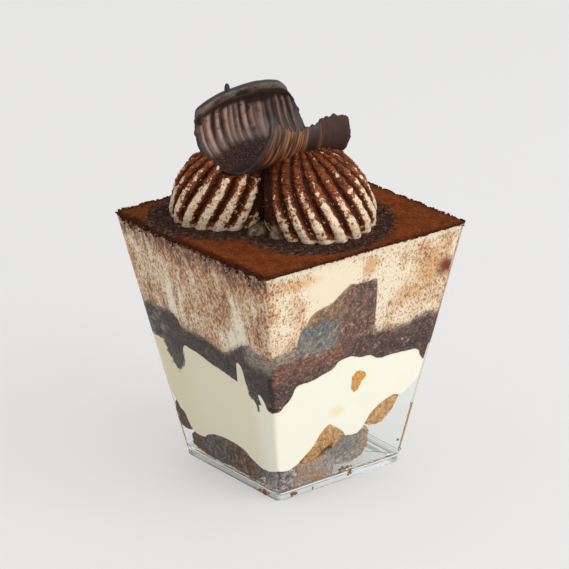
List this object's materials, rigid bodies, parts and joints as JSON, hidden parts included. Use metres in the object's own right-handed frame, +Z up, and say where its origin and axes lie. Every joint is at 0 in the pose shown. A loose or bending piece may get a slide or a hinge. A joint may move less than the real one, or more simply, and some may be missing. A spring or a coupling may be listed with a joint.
{
  "type": "tiramisu",
  "caption": "Layered tiramisu in a clear square tapered cup: soaked sponge, cream and chocolate layers under cocoa, ridged piped cream and a chocolate curl.",
  "frame": {"origin": "centre of the cup's foot, on the surface it stands on", "axes": "+Z up; the cup's sides are square to X and Y, and -Y and -X are the two sides that show most"},
  "size_m": [0.066, 0.066, 0.1043],
  "materials": {
    "clear_plastic": "clear, glossy moulded plastic",
    "cream": "soft ivory whipped cream, dusted with cocoa on the ridges",
    "chocolate_layer": "dark, moist chocolate and soaked sponge",
    "cocoa": "dry matte cocoa powder",
    "sponge": "open-pored sponge finger, moist",
    "soaked_sponge": "coffee-soaked sponge",
    "chocolate": "dark chocolate, half glossy, ribbed inside"
  },
  "bodies": {
    "root": {"cup": "clear_plastic", "cream_lower": "cream", "chocolate_layer": "chocolate_layer", "cream_upper": "cream", "cocoa_top": "cocoa", "sponge_slab": "sponge", "sponge_lens": "sponge", "sponge_low": "sponge", "sponge_front": "sponge", "sponge_left": "sponge", "sponge_left_mid": "sponge", "sponge_left_end": "sponge", "sponge_high": "sponge", "sponge_back": "sponge", "sponge_back_end": "sponge", "sponge_right": "sponge", "sponge_core": "sponge", "sponge_bit": "sponge", "sponge_wedge": "soaked_sponge", "piped_cream_left": "cream", "piped_cream_right": "cream", "cream_dab_left": "cream", "cream_dab_right": "cream", "chocolate_curl": "chocolate"}
  },
  "joints": []
}
